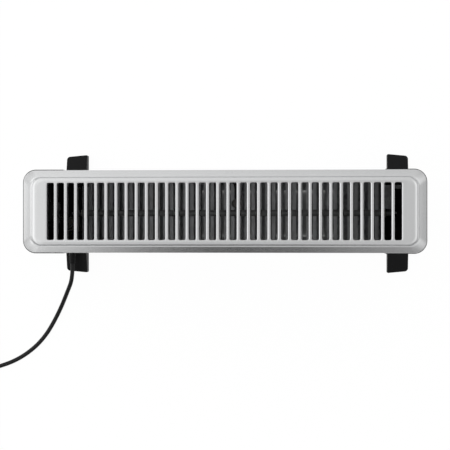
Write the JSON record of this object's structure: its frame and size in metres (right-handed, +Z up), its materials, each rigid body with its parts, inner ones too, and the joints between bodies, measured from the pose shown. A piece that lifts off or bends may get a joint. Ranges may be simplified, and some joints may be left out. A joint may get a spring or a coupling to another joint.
{
  "type": "convector heater",
  "caption": "Floor-standing convector heater: slim casing with a slotted top grille over a finned element, two cross feet, thermostat knob and rocker switches at one end, and a mains cord.",
  "frame": {"origin": "middle of the footprint on the floor, under the middle of the casing", "axes": "+X along the casing to its control end, +Y to the rear, +Z up"},
  "size_m": [0.8532, 0.3895, 0.385],
  "materials": {
    "silver_plastic": "satin silver",
    "silver_paint": "satin silver",
    "black_plastic": "fine grain",
    "gloss_black": "gloss",
    "pale_plastic": "plain",
    "bright_steel": "zinc plated",
    "zinc_sheet": "galvanised",
    "fin_aluminium": "mill",
    "rod_steel": "oxidised",
    "insulator_ceramic": "unglazed",
    "cutout_case": "plain",
    "lamp_lens": "clear amber",
    "soft_rubber": "matt",
    "cord_sheath": "satin",
    "tie_plastic": "plain",
    "pin_brass": "nickel plated",
    "dark_lead": "matt",
    "pale_lead": "matt"
  },
  "bodies": {
    "heater": {"top_grille": "silver_plastic", "front_panel": "silver_paint", "rear_panel": "silver_paint", "left_end_cap": "black_plastic", "right_end_cap": "black_plastic", "left_foot": "black_plastic", "right_foot": "black_plastic", "control_panel": "black_plastic", "low_heat_switch": "black_plastic", "high_heat_switch": "black_plastic", "thermostat": "black_plastic", "terminal_block": "pale_plastic", "foot_screws": "bright_steel", "casing_screws": "bright_steel", "base_tray": "zinc_sheet", "left_element_bracket": "zinc_sheet", "right_element_bracket": "zinc_sheet", "heating_fins": "fin_aluminium", "heating_rod": "rod_steel", "rod_insulators": "insulator_ceramic", "thermal_cutout": "cutout_case", "indicator_lamp": "lamp_lens", "foot_pads": "soft_rubber", "cord_gland": "cord_sheath", "mains_cord": "cord_sheath", "cord_coil": "cord_sheath", "supply_cores": "cord_sheath", "cord_tie": "tie_plastic", "mains_plug": "cord_sheath", "plug_pins": "pin_brass", "cutout_leads": "dark_lead", "live_wire": "dark_lead", "neutral_wire": "pale_lead"},
    "thermostat_dial": {"thermostat_knob": "black_plastic", "thermostat_shaft": "bright_steel"},
    "low_heat_button": {"low_heat_rocker": "gloss_black"},
    "high_heat_button": {"high_heat_rocker": "gloss_black"}
  },
  "joints": [
    {"name": "thermostat_turn", "type": "hinge", "parent": "heater", "child": "thermostat_dial", "pos_m": [0.2894, 0, 0.29], "axis": [-1, 0, 0], "range_deg": [0, 270]},
    {"name": "low_heat_tip", "type": "hinge", "parent": "heater", "child": "low_heat_button", "pos_m": [0.286, -0.01, 0.238], "axis": [0, -1, 0], "range_deg": [0, 16]},
    {"name": "high_heat_tip", "type": "hinge", "parent": "heater", "child": "high_heat_button", "pos_m": [0.286, 0.01, 0.238], "axis": [0, -1, 0], "range_deg": [0, 16]}
  ]
}
